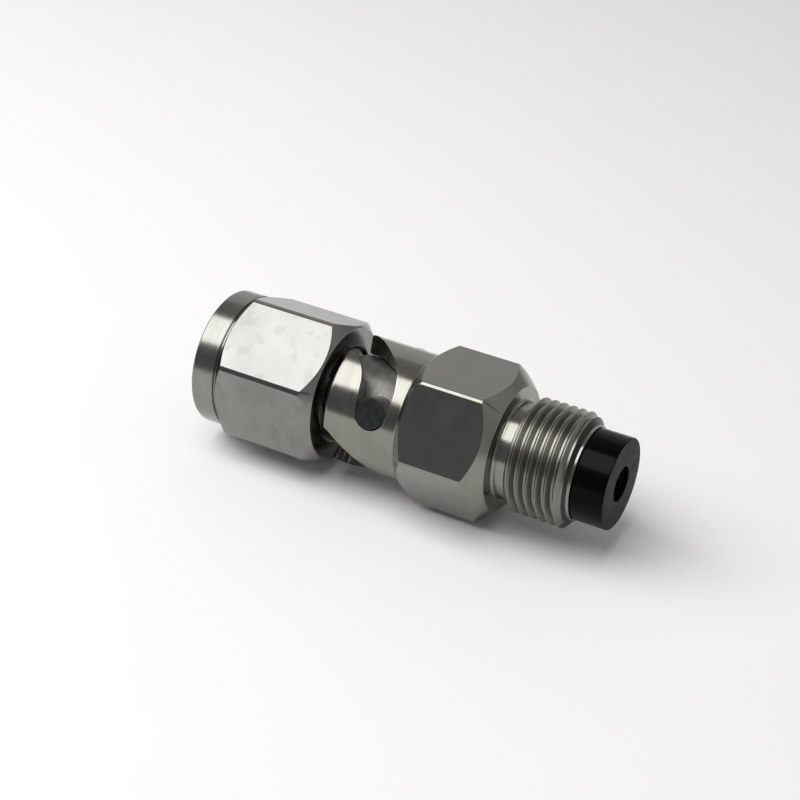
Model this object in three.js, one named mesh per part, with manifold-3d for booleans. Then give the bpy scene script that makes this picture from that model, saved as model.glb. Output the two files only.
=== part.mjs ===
// Inline pressure relief valve with a swivel nut inlet and a three-pin bayonet joint.
// Millimetres. +X runs along the valve's axis from the nut to the nose, +Z is up,
// and the origin is on the axis at the middle of the valve's length.
import * as THREE from 'three';
import { mergeVertices } from 'three/addons/utils/BufferGeometryUtils.js';
import Module from 'manifold-3d';

const wasm = await Module();
wasm.setup();

// Driving dimensions
const fullLength = 84.4;
const leftEnd = -fullLength / 2;
const rightEnd = fullLength / 2;
const roundSides = 24; // facets of every turned surface
const boltSides = 18; // facets of pins and small bores
const wireSides = 8; // facets of o-rings and spring wire

// Standard 7/8-14 thread, used on the nose and in the nut
const threadPitch = 25.4 / 14;
const threadRadius = 11.05;
const threadDepth = 1.1;
const nutThreadRadius = 11.25;
const nutMinorRadius = 10.15;
const grooveRootHalf = 0.2; // half the groove's width at its root
const grooveOpenHalf = 0.86; // and where it opens, a little past the surface
const grooveOver = 0.12;

// Both hexagons are 27 mm across flats; the body's corners are turned to this radius
const hexFlats = 27;
const hexCornerRadius = 15.4;
const nutTurn = THREE.MathUtils.degToRad(-25.2);

// Socket body stations along the axis
const barrelLeft = -13.4;
const barrelRadius = 12.55;
const barrelBore = 8.9;
const barrelBoreEnd = 9.2;
const barrelEdge = 0.8;
const hexLeft = 1.8;
const hexRight = 20.4;
const hexRightRadius = 12.05;
const neckRadius = 9.5;
const neckLeft = 21.1;
const neckRight = 23;
const coneLeft = 33.95; // the thread's end cone, then a short lip round the plastic nose
const lipLeft = 35.3;
const lipRadius = 9.1;
const steelEnd = 35.8;
const inletPort = 3.5;
const chamberLeft = 11.7;
const chamberRadius = 6.5;

// Bayonet
const pinCount = 3;
const pinStation = -4;
const pinAngle = THREE.MathUtils.degToRad(26.4);
const pinRadius = 3;
const pinInner = 5.25;
const pinOuter = 12.5;
const pinHoleRadius = 3.06;
const pinHoleFloor = 5;
const slotCutInner = 5;
const slotCutOuter = 30;

// Plug half
const plugLeft = -13.3;
const plugRight = 5.4;
const plugRadius = 8.6;
const flowBore = 3.5;
const spigotBore = 6.15;
const spigotBoreEnd = -7.9;
const plugGrooveLeft = 0.6;
const plugGrooveRight = 3.9;
const plugGrooveFloor = 6.95;

// Tail piece
const flangeLeft = -30.4;
const flangeRight = -27.8;
const flangeRadius = 9.5;
const tailRadius = 7.5;
const tailShoulder = -13.7;
const spigotRadius = 6;
const spigotEnd = -8.2;
const ringGrooveLeft = -17;
const ringGrooveRight = -15.8;
const ringGrooveFloor = 7;
const tailGrooveLeft = -10.4;
const tailGrooveRight = -9;
const tailGrooveFloor = 4.85;
const gasketLength = 1;

// Nut
const nutFace = -15.55;
const nutFaceRadius = 13.15;
const nutHexLeft = -37.1;
const nutCollarRadius = 13.45;
const nutCornerRadius = 15.3;
const nutBore = 7.9;
const nutShoulder = -26.9;
const nutCounterbore = 9.6;
const nutCounterboreFloor = -17.35;
const nutReliefRadius = 11.35;
const nutReliefLeft = -31.6;
const nutReliefRight = -29.8;
const nutChamber = 10;

// Running and fitting clearance between the pieces in the chamber
const clearance = 0.3;
const cartridgeRadius = chamberRadius - clearance;

// Valve cartridge
const seatLength = 4;
const seatHole = 2.4;
const seatMouth = 0.8;
const stemRadius = 1.5;
const stemEnd = 12.8;
const discRadius = 4.6;
const discLeft = 1.2;
const discRight = 2.6;
const springLength = 6.4;
const springWire = 0.5; // radius of the wire
const guideLength = 2.3;
const screwLength = 2.6;
const lockLength = 1.4;
const noseStem = 1.9;
const noseRadius = 8.8;
const noseBore = 3.4;
const washerLength = 0.8;

const steel = new THREE.MeshStandardMaterial({ color: 0xb4b2ac, roughness: 0.3, metalness: 1 });
const pinSteel = new THREE.MeshStandardMaterial({ color: 0x2c3033, roughness: 0.45, metalness: 0.8 });
const springSteel = new THREE.MeshStandardMaterial({ color: 0x8d8f91, roughness: 0.35, metalness: 1 });
const blackPlastic = new THREE.MeshStandardMaterial({ color: 0x0b0b0c, roughness: 0.3, metalness: 0 });
const rubber = new THREE.MeshStandardMaterial({ color: 0x151515, roughness: 0.7, metalness: 0 });
const whitePlastic = new THREE.MeshStandardMaterial({ color: 0xe8e6df, roughness: 0.5, metalness: 0 });

// A closed geometry as a manifold, with shared corners merged and faces turned outwards
function solid(geometry) {
  const bare = geometry.clone();
  bare.deleteAttribute('normal');
  bare.deleteAttribute('uv');
  const merged = mergeVertices(bare, 1e-4);
  const at = merged.getAttribute('position');
  const triangles = [];
  for (let i = 0; i < merged.index.count; i += 3) {
    const corners = [0, 1, 2].map((k) => merged.index.getX(i + k));
    if (new Set(corners).size === 3) triangles.push(corners);
  }
  const [a, b, c] = [new THREE.Vector3(), new THREE.Vector3(), new THREE.Vector3()];
  let volume = 0;
  for (const [i, j, k] of triangles) {
    a.fromBufferAttribute(at, i);
    b.fromBufferAttribute(at, j);
    c.fromBufferAttribute(at, k);
    volume += a.dot(b.cross(c));
  }
  if (volume < 0) triangles.forEach((corners) => corners.reverse());
  return new wasm.Manifold(new wasm.Mesh({
    numProp: 3,
    vertProperties: new Float32Array(at.array),
    triVerts: new Uint32Array(triangles.flat()),
  }));
}

// A manifold back as a flat-shaded geometry
function geometryOf(manifold) {
  const mesh = manifold.getMesh();
  const geometry = new THREE.BufferGeometry();
  geometry.setAttribute('position', new THREE.BufferAttribute(mesh.vertProperties, 3));
  geometry.setIndex(new THREE.BufferAttribute(mesh.triVerts, 1));
  geometry.computeVertexNormals();
  return geometry;
}

// Turned solid about X from (station, radius) pairs; a ring's profile closes on itself
function turned(profile, sides = roundSides) {
  const points = profile.map(([x, r]) => new THREE.Vector2(r, x));
  const ring = profile.every(([, r]) => r > 0);
  if (ring) points.push(points[0].clone());
  return solid(new THREE.LatheGeometry(points, sides).rotateZ(-Math.PI / 2));
}

// Cylinder along X, used for bores and plain rings
function rod(radius, left, right, sides = roundSides) {
  return turned([[left, 0], [left, radius], [right, radius], [right, 0]], sides);
}

function ring(inner, outer, left, right, sides = roundSides) {
  return turned([[left, inner], [left, outer], [right, outer], [right, inner]], sides);
}

// Hexagonal bar along X with one flat down, turned about X by an angle
function hexBar(flats, left, right, turn = 0) {
  const bar = new THREE.CylinderGeometry(flats / Math.sqrt(3), flats / Math.sqrt(3), right - left, 6);
  bar.rotateZ(-Math.PI / 2).rotateX(Math.PI / 6 + turn);
  return solid(bar.translate((left + right) / 2, 0, 0));
}

// Round ring of round section in the plane across X
function oRing(ringRadius, sectionRadius) {
  return new THREE.TorusGeometry(ringRadius, sectionRadius, wireSides, roundSides).rotateY(Math.PI / 2);
}

// Helical wedge that runs between two radii: a thread groove's shape
function threadWedge(rootRadius, openRadius, rootHalf, openHalf, left, right) {
  const turns = (right - left) / threadPitch;
  const steps = Math.round(turns * roundSides);
  const section = [
    [rootRadius, -rootHalf],
    [openRadius, -openHalf],
    [openRadius, openHalf],
    [rootRadius, rootHalf],
  ];
  const positions = [];
  const indices = [];
  for (let i = 0; i <= steps; i++) {
    const angle = (i / roundSides) * 2 * Math.PI;
    const x = left + (i / roundSides) * threadPitch;
    for (const [r, half] of section) {
      positions.push(x + half, r * Math.cos(angle), r * Math.sin(angle));
    }
  }
  for (let i = 0; i < steps; i++) {
    for (let k = 0; k < 4; k++) {
      const [p, q] = [i * 4 + k, i * 4 + ((k + 1) % 4)];
      indices.push(p, q, q + 4, p, q + 4, p + 4);
    }
  }
  const last = steps * 4;
  indices.push(0, 2, 1, 0, 3, 2, last, last + 1, last + 2, last, last + 2, last + 3);
  const wedge = new THREE.BufferGeometry();
  wedge.setAttribute('position', new THREE.Float32BufferAttribute(positions, 3));
  wedge.setIndex(indices);
  return solid(wedge);
}

// Outline of one bayonet slot, unrolled: x from the pin's centre, y along the barrel's surface
function slotOutline() {
  const mouth = barrelLeft - pinStation;
  const outside = mouth - 2.5;
  const tip = { x: mouth + 1.2, y: 9.75, radius: 1.2 };
  const pocket = { x: 0.06, y: -0.12, radius: 3.18 };
  const shape = new THREE.Shape();
  shape.moveTo(outside, tip.y);
  shape.lineTo(mouth, tip.y);
  shape.absarc(tip.x, tip.y, tip.radius, Math.PI, 0.35, true);
  shape.bezierCurveTo(-5.6, 8.9, -4, 6.9, -3.75, 4.5);
  shape.lineTo(pocket.x - pocket.radius, pocket.y);
  shape.absarc(pocket.x, pocket.y, pocket.radius, Math.PI, 2 * Math.PI, false);
  shape.bezierCurveTo(3.9, 2.4, 4.3, 5.2, 1.3, 10.7);
  shape.lineTo(-7.5, 19.6);
  shape.quadraticCurveTo(-8.6, 20.7, outside, 21.2);
  return new THREE.Shape(shape.getSpacedPoints(76).slice(0, -1));
}

// Middle of the slot, unrolled: the way a milling cutter goes from the pocket to the mouth
function slotMiddle() {
  const mouth = barrelLeft - pinStation;
  const points = [[0.2, 0], [0.3, 3.7], [-0.4, 6.6], [-2.1, 9.9], [-4.8, 13], [mouth - 2.5, 17.5]];
  return new THREE.SplineCurve(points.map(([x, y]) => new THREE.Vector2(x, y))).getPoints(80);
}

// The slot's cutter: the outline raised and wrapped round the barrel. Each wall keeps its distance
// from the middle at every radius, so a round pin fits from the bore to the surface
function slotCutter() {
  const depth = slotCutOuter - slotCutInner;
  const middle = slotMiddle();
  const block = new THREE.ExtrudeGeometry(slotOutline(), { depth, bevelEnabled: false });
  const at = block.getAttribute('position');
  const point = new THREE.Vector2();
  for (let i = 0; i < at.count; i++) {
    point.set(at.getX(i), at.getY(i));
    const near = middle.reduce((a, b) => (point.distanceTo(b) < point.distanceTo(a) ? b : a));
    const angle = near.y / barrelRadius;
    const r = slotCutInner + at.getZ(i);
    const side = point.y - near.y;
    const y = -r * Math.cos(angle) + side * Math.sin(angle);
    const z = r * Math.sin(angle) + side * Math.cos(angle);
    at.setXYZ(i, pinStation + point.x, y, z);
  }
  return block;
}

// Anything made at the front of the valve, repeated at the three pins' angles
function atPins(geometry) {
  return Array.from({ length: pinCount }, (_, i) => {
    return geometry.clone().rotateX(-pinAngle - (i * 2 * Math.PI) / pinCount);
  });
}

function socketBody() {
  const chamfer = hexCornerRadius - barrelRadius;
  const endChamfer = hexCornerRadius - hexRightRadius;
  const outside = turned([
    [barrelLeft, 0],
    [barrelLeft, barrelRadius - barrelEdge],
    [barrelLeft + 0.25 * barrelEdge, barrelRadius - 0.3 * barrelEdge],
    [barrelLeft + barrelEdge, barrelRadius],
    [hexLeft, barrelRadius],
    [hexLeft + chamfer, hexCornerRadius],
    [hexRight - endChamfer, hexCornerRadius],
    [hexRight, hexRightRadius],
    [hexRight, neckRadius + 0.7],
    [neckLeft, neckRadius],
    [neckRight, neckRadius],
    [neckRight + threadDepth, threadRadius],
    [coneLeft, threadRadius],
    [lipLeft, lipRadius],
    [steelEnd, lipRadius],
    [steelEnd, 0],
  ]);
  const hexKeeper = hexBar(hexFlats, hexLeft - 0.5, hexRight + 0.5)
    .add(rod(barrelRadius + 0.5, barrelLeft - 1, hexLeft + 0.1))
    .add(rod(threadRadius + 1, hexRight - 0.1, steelEnd + 1));
  const groove = threadWedge(threadRadius - threadDepth, threadRadius + grooveOver, grooveRootHalf,
    grooveOpenHalf, neckRight - 0.2, steelEnd + threadPitch);
  let body = outside.intersect(hexKeeper).subtract(groove);
  body = body.subtract(rod(barrelBore, barrelLeft - 1, barrelBoreEnd));
  body = body.subtract(rod(inletPort, barrelBoreEnd - 1, chamberLeft + 1));
  body = body.subtract(rod(chamberRadius, chamberLeft, steelEnd + 1));
  for (const cutter of atPins(slotCutter())) body = body.subtract(solid(cutter));
  return geometryOf(body);
}

function swivelNut() {
  const leftChamfer = nutCornerRadius - nutCollarRadius;
  const rightChamfer = nutCornerRadius - nutFaceRadius;
  const outside = turned([
    [leftEnd, 0],
    [leftEnd, nutCollarRadius - 0.4],
    [leftEnd + 0.4, nutCollarRadius],
    [nutHexLeft - 0.4, nutCollarRadius],
    [nutHexLeft - 0.2, nutCollarRadius - 0.4],
    [nutHexLeft, nutCollarRadius - 0.4],
    [nutHexLeft + leftChamfer, nutCornerRadius],
    [nutFace - rightChamfer, nutCornerRadius],
    [nutFace, nutFaceRadius],
    [nutFace, 0],
  ]);
  const hexKeeper = hexBar(hexFlats, nutHexLeft - 0.3, nutFace + 0.5, nutTurn)
    .add(rod(nutCollarRadius + 0.5, leftEnd - 1, nutHexLeft - 0.2));
  const inside = turned([
    [leftEnd - 1, 0],
    [leftEnd - 1, nutThreadRadius + 1.2],
    [leftEnd + 1.1, nutMinorRadius],
    [nutReliefLeft, nutMinorRadius],
    [nutReliefLeft, nutReliefRadius],
    [nutReliefRight, nutReliefRadius],
    [nutReliefRight, nutChamber],
    [nutShoulder, nutChamber],
    [nutShoulder, nutBore],
    [nutCounterboreFloor, nutBore],
    [nutCounterboreFloor, nutCounterbore],
    [nutFace + 1, nutCounterbore],
    [nutFace + 1, 0],
  ]);
  const groove = threadWedge(nutThreadRadius, nutMinorRadius - grooveOver, grooveRootHalf,
    grooveOpenHalf, leftEnd - threadPitch, nutReliefLeft + 0.8);
  return geometryOf(outside.intersect(hexKeeper).subtract(inside).subtract(groove));
}

// Inner half of the bayonet, with three blind radial holes for the pins
function bayonetPlug() {
  let plug = turned([
    [plugLeft, 0],
    [plugLeft, plugRadius - 0.5],
    [plugLeft + 0.5, plugRadius],
    [plugGrooveLeft, plugRadius],
    [plugGrooveLeft, plugGrooveFloor],
    [plugGrooveRight, plugGrooveFloor],
    [plugGrooveRight, plugRadius],
    [plugRight - 0.6, plugRadius],
    [plugRight, plugRadius - 0.6],
    [plugRight, 0],
  ]);
  plug = plug.subtract(rod(flowBore, plugLeft - 1, plugRight + 1, boltSides));
  plug = plug.subtract(rod(spigotBore, plugLeft - 1, spigotBoreEnd));
  const hole = new THREE.CylinderGeometry(pinHoleRadius, pinHoleRadius, plugRadius, boltSides);
  hole.translate(pinStation, -pinHoleFloor - plugRadius / 2, 0);
  for (const cutter of atPins(hole)) plug = plug.subtract(solid(cutter));
  return geometryOf(plug);
}

// Dowel with a small chamfer on its outer end, standing along -Y from the axis
function bayonetPin() {
  const edge = 0.25;
  const profile = [
    new THREE.Vector2(0, pinInner),
    new THREE.Vector2(pinRadius - edge, pinInner),
    new THREE.Vector2(pinRadius, pinInner + edge),
    new THREE.Vector2(pinRadius, pinOuter - edge),
    new THREE.Vector2(pinRadius - edge, pinOuter),
    new THREE.Vector2(0, pinOuter),
  ];
  const pin = new THREE.LatheGeometry(profile, boltSides).rotateX(Math.PI);
  return geometryOf(solid(pin.translate(pinStation, 0, 0)));
}

// Flanged tube that the nut turns on; its spigot screws into the plug
function tailPiece() {
  return geometryOf(turned([
    [flangeLeft, flowBore],
    [flangeLeft, flangeRadius - 0.3],
    [flangeLeft + 0.3, flangeRadius],
    [flangeRight, flangeRadius],
    [flangeRight, tailRadius],
    [ringGrooveLeft, tailRadius],
    [ringGrooveLeft, ringGrooveFloor],
    [ringGrooveRight, ringGrooveFloor],
    [ringGrooveRight, tailRadius],
    [tailShoulder, tailRadius],
    [tailShoulder, spigotRadius],
    [tailGrooveLeft, spigotRadius],
    [tailGrooveLeft, tailGrooveFloor],
    [tailGrooveRight, tailGrooveFloor],
    [tailGrooveRight, spigotRadius],
    [spigotEnd, spigotRadius],
    [spigotEnd, flowBore],
  ]));
}

// Open snap ring, flat, in the plane across X
function retainingRing() {
  const [inner, outer, thickness, gap] = [7.15, 8.9, 0.9, 0.35];
  const shape = new THREE.Shape();
  shape.absarc(0, 0, outer, gap, 2 * Math.PI - gap, false);
  shape.absarc(0, 0, inner, 2 * Math.PI - gap, gap, true);
  const flat = new THREE.ExtrudeGeometry(shape, { depth: thickness, bevelEnabled: false, curveSegments: 24 });
  return geometryOf(solid(flat.rotateY(Math.PI / 2)));
}

// Wave washer: a flat ring bent into three waves round its circle
function waveSpring() {
  const [inner, outer, thickness, waves, height] = [6.7, 8.3, 0.4, 3, 0.7];
  const shape = new THREE.Shape();
  shape.absarc(0, 0, outer, 0, 2 * Math.PI, false);
  const hole = new THREE.Path();
  hole.absarc(0, 0, inner, 0, 2 * Math.PI, true);
  shape.holes.push(hole);
  const flat = { depth: thickness, bevelEnabled: false, curveSegments: 36 };
  const washer = new THREE.ExtrudeGeometry(shape, flat);
  const at = washer.getAttribute('position');
  for (let i = 0; i < at.count; i++) {
    const angle = Math.atan2(at.getY(i), at.getX(i));
    at.setZ(i, at.getZ(i) - thickness / 2 + height * Math.cos(waves * angle));
  }
  return geometryOf(solid(washer.rotateY(Math.PI / 2)));
}

// Seat with a 45 degree mouth for the poppet and a groove for its o-ring
function valveSeat() {
  const [grooveLeft, grooveRight, grooveFloor] = [1.2, 2.8, 5];
  return geometryOf(turned([
    [0, seatHole],
    [0, cartridgeRadius],
    [grooveLeft, cartridgeRadius],
    [grooveLeft, grooveFloor],
    [grooveRight, grooveFloor],
    [grooveRight, cartridgeRadius],
    [seatLength, cartridgeRadius],
    [seatLength, seatHole + seatMouth],
    [seatLength - seatMouth, seatHole],
  ]));
}

// Poppet with a conical nose, a disc for the spring and a guided stem; x = 0 is the seat's right face
function poppet() {
  const coneBase = seatHole + seatMouth - 0.35; // keeps clear of the seat's mouth all round
  const coneLength = 1.4;
  const hubLength = 0.8;
  const tip = 0.4;
  return geometryOf(turned([
    [-coneLength, 0],
    [-coneLength, coneBase - coneLength],
    [0, coneBase],
    [discLeft, coneBase],
    [discLeft, discRadius],
    [discRight, discRadius],
    [discRight, 2.6],
    [discRight + hubLength, 2.4],
    [discRight + hubLength, stemRadius],
    [stemEnd - tip, stemRadius],
    [stemEnd, stemRadius - tip],
    [stemEnd, 0],
  ], boltSides));
}

class SpringPath extends THREE.Curve {
  constructor(radius, length, turns) {
    super();
    this.radius = radius;
    this.length = length;
    this.turns = turns;
  }

  // The end turns lie nearly flat, so the rise eases in and out
  getPoint(t, target = new THREE.Vector3()) {
    const angle = t * this.turns * 2 * Math.PI;
    const rise = THREE.MathUtils.lerp(t, THREE.MathUtils.smoothstep(t, 0, 1), 0.55);
    return target.set(rise * this.length, this.radius * Math.cos(angle), this.radius * Math.sin(angle));
  }
}

function coilSpring() {
  const path = new SpringPath(3.6, springLength, 5.5);
  const section = new THREE.Shape();
  section.absarc(0, 0, springWire, 0, 2 * Math.PI, false);
  const swept = { steps: 72, curveSegments: wireSides / 2, extrudePath: path };
  const coil = new THREE.ExtrudeGeometry(section, swept);
  return geometryOf(solid(coil));
}

// Disc that guides the stem, with six flow holes round it
function springGuide() {
  const [holes, holeCircle, holeRadius] = [6, 4.75, 0.85];
  let guide = ring(stemRadius + clearance, cartridgeRadius, 0, guideLength);
  for (let i = 0; i < holes; i++) {
    const angle = (i / holes) * 2 * Math.PI;
    const hole = rod(holeRadius, -1, guideLength + 1, 10);
    guide = guide.subtract(hole.translate([0, holeCircle * Math.cos(angle), holeCircle * Math.sin(angle)]));
  }
  return geometryOf(guide);
}

// Hollow screw with a through hexagon for the key; its dished face collects the flow
function adjustingScrew() {
  const dish = rod(5.6, -1, 0.8);
  const key = hexBar(6, -1, screwLength + 1);
  return geometryOf(rod(cartridgeRadius, 0, screwLength).subtract(dish).subtract(key));
}

// Thin ring with two slots for a pin spanner
function lockRing() {
  const [slotWidth, slotFloor] = [1.6, 0.6];
  const slot = new THREE.BoxGeometry(lockLength, slotWidth, cartridgeRadius * 2 + 2);
  slot.translate(slotFloor + lockLength / 2, 0, 0);
  return geometryOf(ring(3.6, cartridgeRadius, 0, lockLength).subtract(solid(slot)));
}

// Plastic nose: a stem inside the bore and the wide face that seals; x = 0 is the stem's end
function noseSeal() {
  const edge = 0.25;
  const flange = noseStem + 0.15;
  const end = rightEnd - (steelEnd - noseStem);
  return geometryOf(turned([
    [0, noseBore],
    [0, cartridgeRadius],
    [flange, cartridgeRadius],
    [flange, noseRadius],
    [end - edge, noseRadius],
    [end, noseRadius - edge],
    [end, noseBore + edge],
    [end - edge, noseBore],
  ]));
}

function place(parent, name, geometry, material, x = 0, turn = 0) {
  const mesh = new THREE.Mesh(geometry, material);
  mesh.name = name;
  mesh.position.x = x;
  mesh.rotation.x = turn;
  parent.add(mesh);
}

const valve = new THREE.Group();

// The fixed half: body, valve cartridge and nose
const socket = new THREE.Group();
const seatStation = chamberLeft + clearance;
const seatFace = seatStation + seatLength;
const springStation = seatFace + discRight + springWire + clearance;
const guideStation = springStation + springLength + springWire + clearance;
const screwStation = guideStation + guideLength + clearance;
const lockStation = screwStation + screwLength + clearance;
const washerStation = plugRight + clearance;
const waveStation = (washerStation + washerLength + barrelBoreEnd) / 2;
place(socket, 'socket_body', socketBody(), steel);
place(socket, 'valve_seat', valveSeat(), steel, seatStation);
place(socket, 'seat_o_ring', oRing(5.72, 0.58), rubber, seatStation + seatLength / 2);
place(socket, 'valve_spring', coilSpring(), springSteel, springStation);
place(socket, 'spring_guide', springGuide(), steel, guideStation);
place(socket, 'adjusting_screw', adjustingScrew(), steel, screwStation);
place(socket, 'lock_ring', lockRing(), steel, lockStation);
place(socket, 'nose_seal', noseSeal(), blackPlastic, steelEnd - noseStem);
place(socket, 'bayonet_spring', waveSpring(), springSteel, waveStation);
valve.add(socket);

// The part that lifts off the seat
const lifting = new THREE.Group();
lifting.position.x = seatFace;
place(lifting, 'poppet', poppet(), steel);
const sealWasher = ring(3.15, discRadius - 0.1, clearance, discLeft - clearance / 2, boltSides);
place(lifting, 'poppet_seal', geometryOf(sealWasher), rubber);
valve.add(lifting);

// The washer that slides in the barrel's bore between the spring and the plug
place(valve, 'thrust_washer', geometryOf(ring(4.2, 8.5, 0, washerLength)), whitePlastic, washerStation);

// The half that turns in the bayonet
const plug = new THREE.Group();
place(plug, 'bayonet_plug', bayonetPlug(), steel);
for (let i = 0; i < pinCount; i++) {
  const turn = -pinAngle - (i * 2 * Math.PI) / pinCount;
  place(plug, `bayonet_pin_${i + 1}`, bayonetPin(), pinSteel, 0, turn);
}
place(plug, 'plug_o_ring', oRing(7.83, 0.78), rubber, plugGrooveLeft + 1);
place(plug, 'backup_ring', geometryOf(ring(7.1, 8.7, 0, 1)), whitePlastic, plugGrooveRight - 1.3);
place(plug, 'tail_piece', tailPiece(), steel);
place(plug, 'tail_o_ring', oRing(5.5, 0.5), rubber, (tailGrooveLeft + tailGrooveRight) / 2);
place(plug, 'nut_retaining_ring', retainingRing(), springSteel, ringGrooveLeft + 0.15);
place(plug, 'nut_thrust_washer', geometryOf(ring(7.8, 9.4, 0, 0.5)), whitePlastic, flangeRight + 0.2);
const gasketStation = flangeLeft - gasketLength - clearance;
place(plug, 'inlet_gasket', geometryOf(ring(4, 9.3, 0, gasketLength)), rubber, gasketStation);
valve.add(plug);

place(valve, 'swivel_nut', swivelNut(), steel);

export default valve;
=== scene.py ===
import math

import bmesh
import bpy
from mathutils import Matrix, Vector


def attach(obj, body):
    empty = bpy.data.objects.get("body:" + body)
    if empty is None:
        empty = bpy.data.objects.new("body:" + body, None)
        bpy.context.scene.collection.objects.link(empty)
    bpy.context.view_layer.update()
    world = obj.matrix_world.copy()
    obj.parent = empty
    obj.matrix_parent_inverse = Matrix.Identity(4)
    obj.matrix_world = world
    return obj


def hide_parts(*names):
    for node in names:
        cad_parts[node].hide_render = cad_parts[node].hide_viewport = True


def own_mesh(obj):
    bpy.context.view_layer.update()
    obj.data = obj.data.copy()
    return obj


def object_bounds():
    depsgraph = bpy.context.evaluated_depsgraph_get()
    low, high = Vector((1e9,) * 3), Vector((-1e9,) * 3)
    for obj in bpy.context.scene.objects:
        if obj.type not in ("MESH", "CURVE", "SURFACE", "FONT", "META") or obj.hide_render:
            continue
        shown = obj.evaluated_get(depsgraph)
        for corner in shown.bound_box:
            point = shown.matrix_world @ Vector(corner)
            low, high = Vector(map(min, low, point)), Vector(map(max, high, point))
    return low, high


# Inline relief valve: a bayonet socket with a threaded nose, and a swivel nut.
# Every size in a dictionary is in millimetres, along and around the X axis.

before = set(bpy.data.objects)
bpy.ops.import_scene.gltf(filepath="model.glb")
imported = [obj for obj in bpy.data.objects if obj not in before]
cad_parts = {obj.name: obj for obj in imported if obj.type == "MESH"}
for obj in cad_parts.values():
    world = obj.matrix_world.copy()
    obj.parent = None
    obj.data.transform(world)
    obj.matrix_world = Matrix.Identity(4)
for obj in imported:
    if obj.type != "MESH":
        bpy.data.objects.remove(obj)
cadLow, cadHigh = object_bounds()
mm = 0.001
print("frame loaded:", len(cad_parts), "nodes")


# Camera

cameraSet = {
    "lens": 82.912,
    "azimuth": 27.41,
    "elevation": 32.47,
    "roll": 2.503,
    "distance": 349.65,
    "aim": (-3.592, 0.0, 2.585),
}


def placeCamera(settings):
    bpy.ops.object.camera_add()
    camera = bpy.context.active_object
    camera.name = "viewCamera"
    camera.data.lens = settings["lens"]
    camera.data.clip_start = 0.01
    camera.data.clip_end = 20
    turn = math.radians(settings["azimuth"])
    lift = math.radians(settings["elevation"])
    roll = math.radians(settings["roll"])
    back = Vector((math.sin(turn) * math.cos(lift), -math.cos(turn) * math.cos(lift), math.sin(lift)))
    side = Vector((math.cos(turn), math.sin(turn), 0))
    top = back.cross(side)
    right = side * math.cos(roll) + top * math.sin(roll)
    up = top * math.cos(roll) - side * math.sin(roll)
    place = Vector(settings["aim"]) * mm + back * settings["distance"] * mm
    rows = [[right[i], up[i], back[i], place[i]] for i in range(3)]
    camera.matrix_world = Matrix(rows + [[0, 0, 0, 1]])
    bpy.context.scene.camera = camera


placeCamera(cameraSet)
print("camera placed")


# Modelling helpers

def deselectAll():
    active = bpy.context.view_layer.objects.active
    if active and active.mode != "OBJECT":
        bpy.ops.object.mode_set(mode="OBJECT")
    bpy.ops.object.select_all(action="DESELECT")


def pick(piece):
    deselectAll()
    piece.select_set(True)
    bpy.context.view_layer.objects.active = piece


def edit(piece):
    pick(piece)
    bpy.ops.object.mode_set(mode="EDIT")
    bpy.ops.mesh.select_all(action="DESELECT")


def leaveEdit():
    bpy.ops.object.mode_set(mode="OBJECT")


def selectFaces(piece, test):
    # in edit mode: selects every face that passes the test and returns how many
    bpy.ops.mesh.select_mode(type="FACE")
    bpy.ops.mesh.select_all(action="DESELECT")
    mesh = bmesh.from_edit_mesh(piece.data)
    chosen = [face for face in mesh.faces if test(face)]
    for face in chosen:
        face.select_set(True)
    bmesh.update_edit_mesh(piece.data)
    return len(chosen)


def selectEdges(piece, test):
    bpy.ops.mesh.select_mode(type="EDGE")
    bpy.ops.mesh.select_all(action="DESELECT")
    mesh = bmesh.from_edit_mesh(piece.data)
    chosen = [edge for edge in mesh.edges if len(edge.link_faces) == 2 and test(edge)]
    for edge in chosen:
        edge.select_set(True)
    bmesh.update_edit_mesh(piece.data)
    return len(chosen)


def tidyMesh(weld=0.001):
    bpy.ops.mesh.select_mode(type="VERT")
    bpy.ops.mesh.select_all(action="SELECT")
    bpy.ops.mesh.remove_doubles(threshold=weld * mm)
    bpy.ops.mesh.normals_make_consistent(inside=False)


def drawLine(name, points, closed=False):
    # one vertex is extruded from point to point, in metres
    deselectAll()
    bpy.ops.mesh.primitive_plane_add(size=mm, location=(0, 0, 0))
    piece = bpy.context.active_object
    piece.name = name
    bpy.ops.object.mode_set(mode="EDIT")
    bpy.ops.mesh.select_mode(type="VERT")
    bpy.ops.mesh.select_all(action="SELECT")
    bpy.ops.mesh.merge(type="CENTER")
    bpy.ops.mesh.select_all(action="SELECT")
    bpy.ops.transform.translate(value=points[0])
    route = points + [points[0]] if closed else points
    for here, following in zip(route, route[1:]):
        step = Vector(following) - Vector(here)
        bpy.ops.mesh.extrude_vertices_move(TRANSFORM_OT_translate={"value": step})
    bpy.ops.mesh.select_all(action="SELECT")
    bpy.ops.mesh.remove_doubles(threshold=0.001 * mm)
    return piece


def softCorners(stations, segments=4):
    # (x, r) is a sharp corner and (x, r, e) is one rounded off, starting e before it
    points = []
    for i, corner in enumerate(stations):
        here = Vector(corner[:2])
        if len(corner) == 2:
            points.append(here)
            continue
        before = (Vector(stations[i - 1][:2]) - here).normalized() * corner[2]
        after = (Vector(stations[(i + 1) % len(stations)][:2]) - here).normalized() * corner[2]
        for k in range(segments + 1):
            t = k / segments
            points.append(here + before * (1 - t) ** 2 + after * t ** 2)
    return points


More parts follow.
